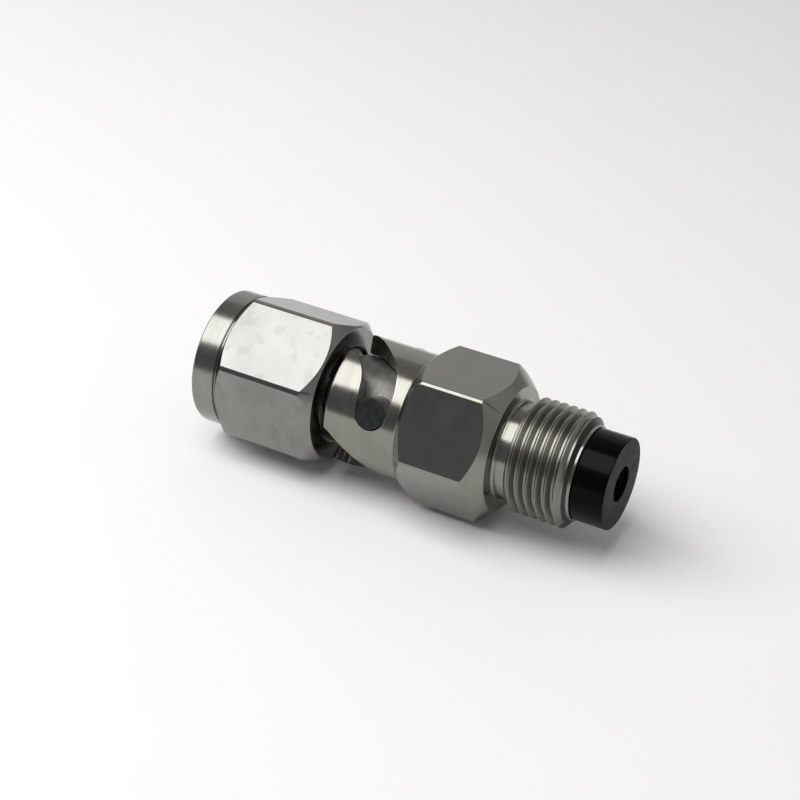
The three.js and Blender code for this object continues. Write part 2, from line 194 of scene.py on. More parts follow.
def turnPiece(name, stations, steps=144, closed=True, angle=2 * math.pi):
    # the profile is drawn above the axis and spun round X
    points = [(p.x * mm, 0, p.y * mm) for p in softCorners(stations)]
    piece = drawLine(name, points, closed)
    bpy.ops.mesh.spin(steps=steps, angle=angle, center=(0, 0, 0), axis=(1, 0, 0))
    if angle < 2 * math.pi:
        bpy.ops.mesh.select_all(action="DESELECT")
        bpy.ops.mesh.select_mode(type="EDGE")
        bpy.ops.mesh.select_non_manifold()
        bpy.ops.mesh.fill_holes(sides=0)
    tidyMesh()
    leaveEdit()
    return piece


def useModifier(piece, kind, **settings):
    pick(piece)
    modifier = piece.modifiers.new(kind.title(), kind)
    for key, value in settings.items():
        setattr(modifier, key, value)
    bpy.ops.object.modifier_apply(modifier=modifier.name)


def carve(piece, cutter, operation="DIFFERENCE"):
    useModifier(piece, "BOOLEAN", object=cutter, operation=operation, solver="MANIFOLD")
    bpy.data.objects.remove(cutter)


def turnAboutX(piece, degrees):
    pick(piece)
    piece.rotation_euler = (math.radians(degrees), 0, 0)
    bpy.ops.object.transform_apply(location=True, rotation=True, scale=True)


def copyTurned(piece, name, degrees):
    pick(piece)
    bpy.ops.object.duplicate(linked=False)
    copied = bpy.context.active_object
    copied.name = name
    turnAboutX(copied, degrees)
    return copied


def hexStock(flats, left, right, degrees=0):
    # hexagonal bar with corners at the front and back and a flat down, then turned
    deselectAll()
    bpy.ops.mesh.primitive_cylinder_add(
        vertices=6, radius=flats / math.sqrt(3) * mm, depth=(right - left) * mm,
        location=((left + right) / 2 * mm, 0, 0), rotation=(0, math.pi / 2, 0))
    stock = bpy.context.active_object
    bpy.ops.object.transform_apply(location=True, rotation=True, scale=True)
    turnAboutX(stock, degrees)
    return stock


def roundBar(radius, left, right, sides=96, y=0, z=0):
    deselectAll()
    bpy.ops.mesh.primitive_cylinder_add(
        vertices=sides, radius=radius * mm, depth=(right - left) * mm,
        location=((left + right) / 2 * mm, y * mm, z * mm), rotation=(0, math.pi / 2, 0))
    bar = bpy.context.active_object
    bpy.ops.object.transform_apply(location=True, rotation=True, scale=True)
    return bar


def threadGroove(rootRadius, openRadius, rootHalf, openHalf, left, turns, pitch):
    # the groove's section is screwed along X, and its two ends are closed
    section = [(-rootHalf, rootRadius), (-openHalf, openRadius),
               (openHalf, openRadius), (rootHalf, rootRadius)]
    points = [((left + x) * mm, r * mm, 0) for x, r in section]
    groove = drawLine("grooveCutter", points, closed=True)
    leaveEdit()
    useModifier(groove, "SCREW", axis="X", angle=2 * math.pi, screw_offset=pitch * mm,
                iterations=turns, steps=96, render_steps=96)
    edit(groove)
    bpy.ops.mesh.select_mode(type="EDGE")
    bpy.ops.mesh.select_non_manifold()
    bpy.ops.mesh.fill_holes(sides=0)
    tidyMesh()
    leaveEdit()
    return groove


def smoothPiece(piece, degrees=32):
    pick(piece)
    bpy.ops.object.shade_smooth_by_angle(angle=math.radians(degrees))
    useModifier(piece, "WEIGHTED_NORMAL", keep_sharp=True, weight=60)


def dress(piece, body, nodeName, slotName, *finishes):
    # gives a finished piece its finishes, its body and the node that it stands for
    piece.data.materials.clear()
    for finish in finishes:
        piece.data.materials.append(finish)
    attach(piece, body)
    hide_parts(nodeName)


def assignFinish(piece, index, test):
    edit(piece)
    found = selectFaces(piece, test)
    piece.active_material_index = index
    bpy.ops.object.material_slot_assign()
    leaveEdit()
    return found


def aroundAxis(face):
    # the share of a face's normal that points away from the axis
    middle = face.calc_center_median()
    outward = Vector((0, middle.y, middle.z)).normalized()
    return face.normal.dot(outward)


# Finishes

def addNode(tree, kind, spot, **settings):
    made = tree.nodes.new("ShaderNode" + kind)
    made.location = (spot[0] * 180, spot[1] * 180)
    for key, value in settings.items():
        setattr(made, key, value)
    return made


def calculate(tree, operation, spot, first, second=None):
    made = addNode(tree, "Math", spot, operation=operation)
    for socket, value in zip(made.inputs, (first, second)):
        if value is None:
            continue
        if isinstance(value, (int, float)):
            socket.default_value = value
        else:
            tree.links.new(value, socket)
    return made.outputs[0]


def noise(tree, spot, vector, scale, detail=3, roughness=0.5):
    made = addNode(tree, "TexNoise", spot)
    made.inputs["Scale"].default_value = scale
    made.inputs["Detail"].default_value = detail
    made.inputs["Roughness"].default_value = roughness
    tree.links.new(vector, made.inputs["Vector"])
    return made.outputs["Fac"]


def ramp(tree, spot, value, stops):
    made = addNode(tree, "ValToRGB", spot)
    while len(made.color_ramp.elements) < len(stops):
        made.color_ramp.elements.new(0.5)
    for element, (position, colour) in zip(made.color_ramp.elements, stops):
        element.position = position
        element.color = (*colour, 1)
    tree.links.new(value, made.inputs["Fac"])
    return made.outputs["Color"]


def spread(tree, spot, value, low, high, fromLow=0.3, fromHigh=0.7):
    made = addNode(tree, "MapRange", spot)
    for key, number in (("From Min", fromLow), ("From Max", fromHigh), ("To Min", low), ("To Max", high)):
        made.inputs[key].default_value = number
    tree.links.new(value, made.inputs["Value"])
    return made.outputs["Result"]


def blendColour(tree, spot, factor, first, second, mode="MIX"):
    made = addNode(tree, "Mix", spot, data_type="RGBA", blend_type=mode)
    for key, value in ((0, factor), (6, first), (7, second)):
        if hasattr(value, "is_linked"):
            tree.links.new(value, made.inputs[key])
        elif key == 0:
            made.inputs[key].default_value = value
        else:
            made.inputs[key].default_value = (*value, 1)
    return made.outputs[2]


def startFinish(name, metallic, specular=0.5):
    finish = bpy.data.materials.new(name)
    finish.use_nodes = True
    tree = finish.node_tree
    shader = tree.nodes["Principled BSDF"]
    shader.inputs["Metallic"].default_value = metallic
    shader.inputs["Specular IOR Level"].default_value = specular
    place = addNode(tree, "TexCoord", (-12, 0))
    return finish, tree, shader, place


def scaled(colour, factor, lift=0):
    return tuple(min(1, c * factor + lift) for c in colour)


def edgeMask(tree, spot, radius):
    # mask for the lighter edge colour, where the surface turns sharply within the radius
    rounded = addNode(tree, "Bevel", spot, samples=6)
    rounded.inputs["Radius"].default_value = radius * mm
    facing = addNode(tree, "NewGeometry", (spot[0], spot[1] - 1))
    compare = addNode(tree, "VectorMath", (spot[0] + 1, spot[1]), operation="DOT_PRODUCT")
    tree.links.new(rounded.outputs["Normal"], compare.inputs[0])
    tree.links.new(facing.outputs["Normal"], compare.inputs[1])
    return spread(tree, (spot[0] + 2, spot[1]), compare.outputs["Value"], 1, 0, 0.9, 0.995)


def brightenEdges(tree, shader, tint, radius, share, edgeColour):
    mask = edgeMask(tree, (-6, 5), radius)
    # the edges' base colour is lightened: partly edge wear, partly a painted highlight along the edges
    wearAndHighlight = calculate(tree, "MULTIPLY", (-3, 5), mask, share)
    tree.links.new(blendColour(tree, (-2, 3), wearAndHighlight, tint, edgeColour), shader.inputs["Base Color"])


def lathePattern(tree, place, fine, broad):
    # noise that changes along the axis on round surfaces, and outwards on end faces
    parts = addNode(tree, "SeparateXYZ", (-10, 1))
    tree.links.new(place.outputs["Object"], parts.inputs[0])
    flat = addNode(tree, "VectorMath", (-10, 0), operation="MULTIPLY")
    flat.inputs[1].default_value = (0, 1, 1)
    tree.links.new(place.outputs["Object"], flat.inputs[0])
    reach = addNode(tree, "VectorMath", (-9, 0), operation="LENGTH")
    tree.links.new(flat.outputs["Vector"], reach.inputs[0])
    facing = addNode(tree, "SeparateXYZ", (-10, -1))
    tree.links.new(place.outputs["Normal"], facing.inputs[0])
    endFace = calculate(tree, "GREATER_THAN", (-8, -1),
                        calculate(tree, "ABSOLUTE", (-9, -1), facing.outputs["X"]), 0.8)
    across = addNode(tree, "Mix", (-7, 0), data_type="FLOAT")
    tree.links.new(endFace, across.inputs[0])
    tree.links.new(parts.outputs["X"], across.inputs[2])
    tree.links.new(reach.outputs["Value"], across.inputs[3])
    found = []
    for row, (scale, around) in enumerate(((fine, 70), (broad, 25))):
        stretched = addNode(tree, "CombineXYZ", (-5, -row))
        tree.links.new(calculate(tree, "MULTIPLY", (-6, -row), across.outputs[0], scale),
                       stretched.inputs["X"])
        for axis in ("Y", "Z"):
            tree.links.new(calculate(tree, "MULTIPLY", (-6, -row - 2), parts.outputs[axis], around),
                           stretched.inputs[axis])
        found.append(noise(tree, (-4, -row), stretched.outputs[0], 1, 2))
    return found


def raiseSurface(tree, spot, shader, height, depth, strength=1.0, under=None):
    made = addNode(tree, "Bump", spot)
    made.inputs["Distance"].default_value = depth * mm
    made.inputs["Strength"].default_value = strength
    tree.links.new(height, made.inputs["Height"])
    if under is not None:
        tree.links.new(under.outputs["Normal"], made.inputs["Normal"])
    tree.links.new(made.outputs["Normal"], shader.inputs["Normal"])
    return made


def turnedSteel(name, dark, light, smooth, rough, lineDepth=0.004, bandDepth=0.01, edgeWearAndHighlight=1.0):
    # lathe-turned steel: fine rings, faint wider bands, cloudy tint and lighter edges, partly wear and
    # partly a painted edge highlight
    finish, tree, shader, place = startFinish(name, 1.0)
    fine, broad = lathePattern(tree, place, 4200, 900)
    clouds = noise(tree, (-4, 2), place.outputs["Object"], 160, 4)
    tint = ramp(tree, (-2, 2), clouds, ((0.3, dark), (0.7, light)))
    tint = blendColour(tree, (-1, 2), spread(tree, (-2, 1), broad, 0, 0.35), tint, scaled(dark, 0.82))
    brightenEdges(tree, shader, tint, 0.16, 0.5 * edgeWearAndHighlight, scaled(light, 1.7))
    smear = noise(tree, (-4, -4), place.outputs["Object"], 420, 5, 0.6)
    mixed = calculate(tree, "ADD", (-2, -4), calculate(tree, "MULTIPLY", (-3, -4), smear, 0.6),
                      calculate(tree, "MULTIPLY", (-3, -5), fine, 0.4))
    tree.links.new(spread(tree, (-1, -4), mixed, smooth, rough), shader.inputs["Roughness"])
    wide = raiseSurface(tree, (-1, -2), shader, broad, bandDepth)
    raiseSurface(tree, (0, -2), shader, fine, lineDepth, under=wide)
    return finish


def barSteel(name, dark, light, smooth, rough, cloudScale, smudges, lineDepth=0.003):
    # drawn bar flats: faint lines along the bar, mottled clouds, small dark smudges and scratches, and
    # lighter edges that are partly wear and partly a painted highlight
    finish, tree, shader, place = startFinish(name, 1.0)
    drawn = addNode(tree, "Mapping", (-10, 1))
    drawn.inputs["Scale"].default_value = (120, 2600, 2600)
    tree.links.new(place.outputs["Object"], drawn.inputs["Vector"])
    lines = noise(tree, (-8, 1), drawn.outputs["Vector"], 1, 3)
    clouds = noise(tree, (-8, 2), place.outputs["Object"], cloudScale, 4, 0.55)
    spots = noise(tree, (-8, 3), place.outputs["Object"], cloudScale * 3, 3, 0.55)
    tint = ramp(tree, (-5, 2), clouds, ((0.32, dark), (0.66, light)))
    smudge = spread(tree, (-5, 3), spots, smudges, 0.0, 0.33, 0.45)
    tint = blendColour(tree, (-4, 2), smudge, tint, scaled(dark, 0.6))
    brightenEdges(tree, shader, tint, 0.16, 0.55, scaled(light, 1.7))
    scratch = addNode(tree, "Mapping", (-10, -2))
    scratch.inputs["Rotation"].default_value = (0.4, 0.5, 0.6)
    scratch.inputs["Scale"].default_value = (2600, 130, 130)
    tree.links.new(place.outputs["Object"], scratch.inputs["Vector"])
    scratches = noise(tree, (-8, -2), scratch.outputs["Vector"], 1, 4, 0.7)
    fineScratches = spread(tree, (-6, -2), scratches, 1, 0, 0.62, 0.7)
    mixed = calculate(tree, "ADD", (-4, -3), calculate(tree, "MULTIPLY", (-5, -3), clouds, 0.7),
                      calculate(tree, "MULTIPLY", (-5, -4), lines, 0.3))
    tree.links.new(spread(tree, (-3, -3), mixed, smooth, rough), shader.inputs["Roughness"])
    under = raiseSurface(tree, (-2, -1), shader, clouds, 0.03 * smudges)
    under = raiseSurface(tree, (-1, -1), shader, lines, lineDepth, under=under)
    raiseSurface(tree, (0, -1), shader, fineScratches, 0.003, under=under)
    return finish


def milledSteel(name, dark, light, smooth, rough):
    # cutter marks across the wall of a milled slot, and lighter edges that are partly wear and partly a
    # painted highlight
    finish, tree, shader, place = startFinish(name, 1.0)
    marks = noise(tree, (-8, 1), place.outputs["Object"], 1500, 2, 0.4)
    clouds = noise(tree, (-8, 2), place.outputs["Object"], 350, 4)
    tint = ramp(tree, (-5, 2), clouds, ((0.3, dark), (0.7, light)))
    brightenEdges(tree, shader, tint, 0.12, 0.5, scaled(light, 1.4))
    tree.links.new(spread(tree, (-3, -3), marks, smooth, rough), shader.inputs["Roughness"])
    raiseSurface(tree, (-1, -1), shader, marks, 0.008)
    return finish


def pinFinish(name, dark, light, smooth, rough):
    # blackened hard steel with a fine grind across the end, and lighter edges that are partly wear and
    # partly a painted highlight
    finish, tree, shader, place = startFinish(name, 0.85)
    ground = addNode(tree, "Mapping", (-10, 1))
    ground.inputs["Scale"].default_value = (3800, 420, 420)
    tree.links.new(place.outputs["Object"], ground.inputs["Vector"])
    lines = noise(tree, (-8, 1), ground.outputs["Vector"], 1, 3)
    clouds = noise(tree, (-8, 2), place.outputs["Object"], 700, 4)
    tint = ramp(tree, (-5, 2), clouds, ((0.3, dark), (0.7, light)))
    brightenEdges(tree, shader, tint, 0.14, 0.25, (0.3, 0.3, 0.29))
    tree.links.new(spread(tree, (-3, -3), lines, smooth, rough), shader.inputs["Roughness"])
    raiseSurface(tree, (-1, -1), shader, lines, 0.003)
    return finish


def mouldedFinish(name, dark, light, smooth, rough, grain, depth, specular=0.5):
    # moulded plastic or rubber: fine grain, cloudy gloss and paler edges, partly rubbed wear and partly a
    # painted edge highlight
    finish, tree, shader, place = startFinish(name, 0.0, specular)
    fine = noise(tree, (-8, 1), place.outputs["Object"], grain, 3)
    clouds = noise(tree, (-8, 2), place.outputs["Object"], 260, 4)
    tint = ramp(tree, (-5, 2), clouds, ((0.3, dark), (0.7, light)))
    brightenEdges(tree, shader, tint, 0.14, 0.35, scaled(light, 1.6, 0.02))
    tree.links.new(spread(tree, (-3, -3), clouds, smooth, rough), shader.inputs["Roughness"])
    raiseSurface(tree, (-1, -1), shader, fine, depth)
    return finish


bodySteel = turnedSteel("turnedBodySteel", (0.235, 0.232, 0.206), (0.275, 0.271, 0.243), 0.14, 0.23)
nutSteel = turnedSteel("turnedNutSteel", (0.23, 0.229, 0.211), (0.268, 0.266, 0.246), 0.15, 0.25)
flatSteel = barSteel("drawnBodyFlat", (0.238, 0.238, 0.221), (0.262, 0.261, 0.243), 0.16, 0.24, 160, 0.12)
nutFlatSteel = barSteel("drawnNutFlat", (0.215, 0.216, 0.205), (0.258, 0.258, 0.247), 0.17, 0.27, 110, 0.24)
threadSteel = turnedSteel("cutThreadSteel", (0.21, 0.208, 0.187), (0.255, 0.251, 0.227), 0.27, 0.38)
# the end cone's steel is painted near black: a painted shade for the dark recess between the thread and the
# nose
paintedShadeConeSteel = turnedSteel("endConePaintedShade", (0.035, 0.0365, 0.037), (0.065, 0.066, 0.066), 0.28, 0.4, edgeWearAndHighlight=0.3)
slotSteel = milledSteel("milledSlotSteel", (0.26, 0.258, 0.24), (0.38, 0.377, 0.355), 0.25, 0.4)
# darker than the other turned steel: a painted shade for the plug seen inside the barrel's slots; the tail
# piece inside the nut shares it, while its roughness and bumps are the finish
paintedShadePlugSteel = turnedSteel("turnedPlugSteelPaintedShade", (0.095, 0.094, 0.087), (0.22, 0.216, 0.2),
                        0.32, 0.52, 0.008, 0.03)
innerSteel = turnedSteel("turnedInnerSteel", (0.24, 0.238, 0.225), (0.3, 0.297, 0.28), 0.2, 0.32)
springSteel = turnedSteel("drawnSpringWire", (0.2, 0.2, 0.2), (0.28, 0.28, 0.28), 0.22, 0.35, 0.002, 0.003)
pinEndSteel = pinFinish("darkPinEnd", (0.03, 0.032, 0.033), (0.05, 0.053, 0.056), 0.34, 0.5)
pinSideSteel = pinFinish("groundPinSide", (0.25, 0.248, 0.235), (0.32, 0.318, 0.3), 0.2, 0.34)
blackPlastic = mouldedFinish("blackMouldedPlastic", (0.0012, 0.0012, 0.0013), (0.0022, 0.0022, 0.0024),
                             0.13, 0.2, 2600, 0.0015, 0.06)
facedPlastic = mouldedFinish("blackFacedPlastic", (0.0022, 0.0022, 0.0024), (0.005, 0.005, 0.0053),
                             0.42, 0.55, 2200, 0.006, 0.1)
sealRubber = mouldedFinish("sealRubber", (0.008, 0.008, 0.008), (0.016, 0.016, 0.015),
                           0.5, 0.65, 1800, 0.006, 0.4)
whitePlastic = mouldedFinish("whiteSlidePlastic", (0.7, 0.69, 0.65), (0.8, 0.79, 0.76),
                             0.4, 0.52, 1500, 0.003)
print("finishes made")


# Thread shared by the nose and the nut

threadSet = {
    "pitch": 25.4 / 14,
    "outer": 11.05,
    "depth": 1.1,
    "rootHalf": 0.17,
    "openHalf": 0.885,
    "over": 0.06,
    "nutOuter": 11.25,
    "nutInner": 10.15,
}


# Socket body

socketSet = {
    "left": -13.4,
    "barrel": 12.55,
    "bore": 8.9,
    "boreEnd": 9.2,
    "edge": 0.8,
    "hexLeft": 1.8,
    "hexRight": 20.4,
    "hexFlats": 27,
    "hexCorner": 15.4,
    "hexRightRadius": 12.05,
    "neck": 9.5,
    "neckRight": 23,
    "end": 35.8,
    "coneLeft": 33.95,
    "lipLeft": 35.3,
    "lip": 9.1,
    "port": 3.5,
    "chamber": 6.5,
    "chamberLeft": 11.7,
    "hexEdge": 0.09,
}

slotSet = {
    "count": 3,
    "pinAngle": 26.4,
    "pinStation": -4,
    "step": 0.42,
    "chamfer": 0.13,
    "inner": 5,
    "outer": 30,
    "tip": (-8.2, 9.75, 1.2),
    "pocket": (0.06, -0.12, 3.18),
    "mouthOver": 2.5,
}


def arcPoints(x, y, radius, start, end, count=24):
    return [Vector((x + radius * math.cos(start + (end - start) * k / count),
                    y + radius * math.sin(start + (end - start) * k / count))) for k in range(count + 1)]


def bezierPoints(points, count=24):
    a, b, c, d = (Vector(p) for p in points)
    return [a * (1 - t) ** 3 + b * 3 * t * (1 - t) ** 2 + c * 3 * t ** 2 * (1 - t) + d * t ** 3
            for t in (k / count for k in range(count + 1))]


def evenlySpaced(points, step):
    # the same closed line with points the same distance apart
    route = points + [points[0]]
    lengths = [0]
    for here, following in zip(route, route[1:]):
        lengths.append(lengths[-1] + (following - here).length)
    count = round(lengths[-1] / step)
    spaced, i = [], 0
    for k in range(count):
        target = lengths[-1] * k / count
        while lengths[i + 1] < target:
            i += 1
        share = (target - lengths[i]) / (lengths[i + 1] - lengths[i])
        spaced.append(route[i].lerp(route[i + 1], share))
    return spaced


def slotOutline(settings, mouth):
    # unrolled: x from the pin's centre, y along the barrel's surface
    outside = mouth - settings["mouthOver"]
    tipX, tipY, tipRadius = settings["tip"]
    pocketX, pocketY, pocketRadius = settings["pocket"]
    points = [Vector((outside, tipY))]
    tipArc = arcPoints(tipX, tipY, tipRadius, math.pi, 0.35)
    points += tipArc
    points += bezierPoints((tipArc[-1], (-5.6, 8.9), (-4, 6.9), (-3.75, 4.5)))[1:]
    pocketArc = arcPoints(pocketX, pocketY, pocketRadius, math.pi, 2 * math.pi, 40)
    points += pocketArc
    points += bezierPoints((pocketArc[-1], (3.9, 2.4), (4.3, 5.2), (1.3, 10.7)))[1:]
    points.append(Vector((-7.5, 19.6)))
    points += bezierPoints(((-7.5, 19.6), (-8.2, 20.35), (-9.7, 21.1), (outside, 21.2)))[1:]
    return evenlySpaced(points, settings["step"])


def slotMiddle(mouth, over):
    # the way a milling cutter goes from the pocket to the mouth
    places = ((0.2, 0), (0.3, 3.7), (-0.4, 6.6), (-2.1, 9.9), (-4.8, 13), (mouth - over, 17.5))
    knots = [Vector(p) for p in places]
    line = []
    for i in range(len(knots) - 1):
        a, b, c, d = knots[max(i - 1, 0)], knots[i], knots[i + 1], knots[min(i + 2, len(knots) - 1)]
        for k in range(16):
            t = k / 16
            line.append(0.5 * ((2 * b) + (c - a) * t + (2 * a - 5 * b + 4 * c - d) * t ** 2
                               + (3 * b - a - 3 * c + d) * t ** 3))
    return line + [knots[-1]]


def slotCutter(settings, barrel, left):
    # four loops, from the bore out past the surface, with a small flare for the edge's chamfer
    mouth = left - settings["pinStation"]
    outline = slotOutline(settings, mouth)
    middle = slotMiddle(mouth, settings["mouthOver"])
    edge = settings["chamfer"]
    flare = 0.1
    levels = ((settings["inner"], 0), (barrel - edge, 0),
              (barrel + flare, edge + flare), (settings["outer"], edge + flare))
    loops = []
    for reach, grow in levels:
        loop = []
        for i, point in enumerate(outline):
            along = (outline[(i + 1) % len(outline)] - outline[i - 1]).normalized()
            moved = point + Vector((-along.y, along.x)) * grow
            near = min(middle, key=lambda m: (m - point).length)
            angle = near.y / barrel
            side = moved.y - near.y
            loop.append(Vector(((settings["pinStation"] + moved.x) * mm,
                                (-reach * math.cos(angle) + side * math.sin(angle)) * mm,
                                (reach * math.sin(angle) + side * math.cos(angle)) * mm)))
        loops.append(loop)
    pieces = []
    for loop in loops:
        pieces.append(drawLine("slotCutter", loop, closed=True))
        leaveEdit()
    deselectAll()
    for piece in pieces:
        piece.select_set(True)
    bpy.context.view_layer.objects.active = pieces[0]
    bpy.ops.object.join()
    cutter = bpy.context.active_object
    count = len(outline)
    bpy.ops.object.mode_set(mode="EDIT")
    bpy.ops.mesh.select_mode(type="EDGE")
    for level in range(3):
        bpy.ops.mesh.select_all(action="DESELECT")
        mesh = bmesh.from_edit_mesh(cutter.data)
        mesh.verts.ensure_lookup_table()
        chosen = set(range(level * count, (level + 2) * count))
        for line in mesh.edges:
            ends = {v.index for v in line.verts}
            sameLoop = len({v // count for v in ends}) == 1
            line.select_set(ends <= chosen and sameLoop)
        bmesh.update_edit_mesh(cutter.data)
        bpy.ops.mesh.bridge_edge_loops()
    bpy.ops.mesh.select_all(action="DESELECT")
    bpy.ops.mesh.select_non_manifold()
    bpy.ops.mesh.fill_holes(sides=0)
    tidyMesh(0.0001)
    bpy.ops.mesh.quads_convert_to_tris()
    leaveEdit()
    return cutter


def isFlatOf(turn, normal, tolerance=0.002):
    # true for a normal square to one of a hexagon's flats
    if abs(normal.x) > tolerance:
        return False
    angle = math.degrees(math.atan2(normal.z, -normal.y)) - turn
    return abs((angle - 30 + 30) % 60 - 30) < 0.15


def liesOnFlat(turn, face, distance):
    away = face.normal.dot(face.calc_center_median())
    return isFlatOf(turn, face.normal) and abs(away - distance) < 1e-5


def bevelHexEdges(piece, turn, flats, width):
    # thin rounds where the flats meet the turned cones and corners
    edit(piece)
    distance = flats / 2 * mm

    def onFlat(face):
        return liesOnFlat(turn, face, distance)

    found = selectEdges(piece, lambda line: sum(onFlat(face) for face in line.link_faces) == 1)
    bpy.ops.mesh.bevel(offset=width * mm, segments=2, clamp_overlap=True, affect="EDGES")
    leaveEdit()
    return found


def makeSocketBody(s, thread):
    corner = s["hexCorner"] - s["barrel"]
    rightCorner = s["hexCorner"] - s["hexRightRadius"]
    body = turnPiece("socketBody", [
        (s["left"], s["bore"], 0.3),
        (s["left"], s["barrel"], s["edge"]),
        (s["hexLeft"], s["barrel"], 0.25),
        (s["hexLeft"] + corner, s["hexCorner"]),
        (s["hexRight"] - rightCorner, s["hexCorner"]),
        (s["hexRight"], s["hexRightRadius"], 0.2),
        (s["hexRight"], s["neck"], 0.7),
        (s["neckRight"], s["neck"]),
        (s["neckRight"] + thread["depth"], thread["outer"]),
        (s["coneLeft"], thread["outer"]),
        (s["lipLeft"], s["lip"], 0.08),
        (s["end"], s["lip"], 0.12),
        (s["end"], s["chamber"], 0.2),
        (s["chamberLeft"], s["chamber"], 0.1),
        (s["chamberLeft"], s["port"], 0.1),
        (s["boreEnd"], s["port"], 0.2),
        (s["boreEnd"], s["bore"], 0.3),
    ], steps=180)
    keeper = hexStock(s["hexFlats"], s["hexLeft"] - 0.5, s["hexRight"] + 0.5)
    carve(keeper, roundBar(s["barrel"] + 0.5, s["left"] - 1, s["hexLeft"] + 0.1, 48), "UNION")
    carve(keeper, roundBar(thread["outer"] + 1, s["hexRight"] - 0.1, s["end"] + 1, 48), "UNION")
    carve(body, keeper, "INTERSECT")
    print("  hexagon edges rounded:", bevelHexEdges(body, 0, s["hexFlats"], s["hexEdge"]))
    cutter = slotCutter(slotSet, s["barrel"], s["left"])
    for i in range(1, slotSet["count"]):
        carve(body, copyTurned(cutter, "slotCopy", -slotSet["pinAngle"] - i * 360 / slotSet["count"]))
    turnAboutX(cutter, -slotSet["pinAngle"])
    carve(body, cutter)
    root = thread["outer"] - thread["depth"]
    groove = threadGroove(root, thread["outer"] + thread["over"], thread["rootHalf"],
                          thread["openHalf"], s["neckRight"] - 0.2, 8, thread["pitch"])
    carve(body, groove)
    edit(body)
    tidyMesh(0.004)
    leaveEdit()
    smoothPiece(body)
    dress(body, "socket", "socket_body", "stainless",
          bodySteel, flatSteel, slotSteel, threadSteel, paintedShadeConeSteel)
    print("  flats:", assignFinish(body, 1, lambda face: isFlatOf(0, face.normal)
                                   and face.calc_center_median().x > s["hexLeft"] * mm))
    low, high = s["bore"] * mm, s["barrel"] * mm

    def onSlotWall(face):
        middle = face.calc_center_median()
        reach = math.hypot(middle.y, middle.z)
        onWall = abs(aroundAxis(face)) < 0.6 and face.normal.x > -0.999
        return middle.x < 0 and low < reach < high and onWall

    print("  slot walls:", assignFinish(body, 2, onSlotWall))

    fall = (thread["outer"] - s["lip"]) / (s["lipLeft"] - s["coneLeft"])

    def onThread(face):
        middle = face.calc_center_median()
        return middle.x > s["neckRight"] * mm and math.hypot(middle.y, middle.z) > (s["neck"] - 0.2) * mm

    def onEndCone(face):
        # lies on the cone itself, so the thread's run-out keeps the thread's finish and only the cone gets
        # the painted shade
        middle = face.calc_center_median()
        past = middle.x / mm - s["coneLeft"]
        onSurface = abs(math.hypot(middle.y, middle.z) / mm - thread["outer"] + past * fall) < 0.03
        return 0 < past < s["lipLeft"] - s["coneLeft"] and onSurface

    def onLip(face):
        middle = face.calc_center_median()
        return middle.x > (s["lipLeft"] - 0.02) * mm and math.hypot(middle.y, middle.z) > s["chamber"] * mm

    print("  thread:", assignFinish(body, 3, onThread))
    print("  end cone:", assignFinish(body, 4, onEndCone))
    print("  end lip:", assignFinish(body, 0, onLip))
    return body


socketBody = makeSocketBody(socketSet, threadSet)
print("socket body made:", len(socketBody.data.polygons), "faces")


# Swivel nut

nutSet = {
    "left": -42.2,
    "face": -15.55,
    "faceRadius": 13.15,
    "hexLeft": -37.1,
    "hexFlats": 27,
    "hexCorner": 15.3,
    "turn": 25.2,
    "collar": 13.45,
    "bore": 7.9,
    "shoulder": -26.9,
    "counterbore": 9.6,
    "counterFloor": -17.35,
    "relief": 11.35,
    "reliefLeft": -31.6,
    "reliefRight": -29.8,
    "chamber": 10,
    "hexEdge": 0.13,
}


def makeSwivelNut(s, thread):
    leftCorner = s["hexCorner"] - s["collar"]
    rightCorner = s["hexCorner"] - s["faceRadius"]
    nut = turnPiece("swivelNut", [
        (s["left"], thread["nutOuter"] + 0.1, 0.1),
        (s["left"], s["collar"], 0.45),
        (s["hexLeft"] - 0.4, s["collar"], 0.08),
        (s["hexLeft"] - 0.2, s["collar"] - 0.4),
        (s["hexLeft"], s["collar"] - 0.4),
        (s["hexLeft"] + leftCorner, s["hexCorner"]),
        (s["face"] - rightCorner, s["hexCorner"]),
        (s["face"], s["faceRadius"], 0.15),
        (s["face"], s["counterbore"], 0.25),
        (s["counterFloor"], s["counterbore"], 0.1),
        (s["counterFloor"], s["bore"], 0.1),
        (s["shoulder"], s["bore"], 0.15),
        (s["shoulder"], s["chamber"], 0.2),
        (s["reliefRight"], s["chamber"], 0.1),
        (s["reliefRight"], s["relief"], 0.1),
        (s["reliefLeft"], s["relief"], 0.1),
        (s["reliefLeft"], thread["nutInner"], 0.1),
        (s["left"] + 1.2, thread["nutInner"]),
    ], steps=180)
    keeper = hexStock(s["hexFlats"], s["hexLeft"] - 0.3, s["face"] + 0.5, -s["turn"])
    carve(keeper, roundBar(s["collar"] + 0.5, s["left"] - 1, s["hexLeft"] - 0.2, 48), "UNION")
    carve(nut, keeper, "INTERSECT")
    print("  hexagon edges rounded:", bevelHexEdges(nut, s["turn"], s["hexFlats"], s["hexEdge"]))
    groove = threadGroove(thread["nutOuter"], thread["nutInner"] - thread["over"], thread["rootHalf"],
                          thread["openHalf"], s["left"] - thread["pitch"], 7, thread["pitch"])
    carve(nut, groove)
    edit(nut)
    tidyMesh(0.004)
    leaveEdit()
    smoothPiece(nut)
    dress(nut, "nut", "swivel_nut", "stainless", nutSteel, nutFlatSteel)
    distance = s["hexFlats"] / 2 * mm
    print("  flats:", assignFinish(nut, 1, lambda face: liesOnFlat(s["turn"], face, distance)))
    return nut


swivelNut = makeSwivelNut(nutSet, threadSet)
print("swivel nut made:", len(swivelNut.data.polygons), "faces")


# Plug half of the bayonet

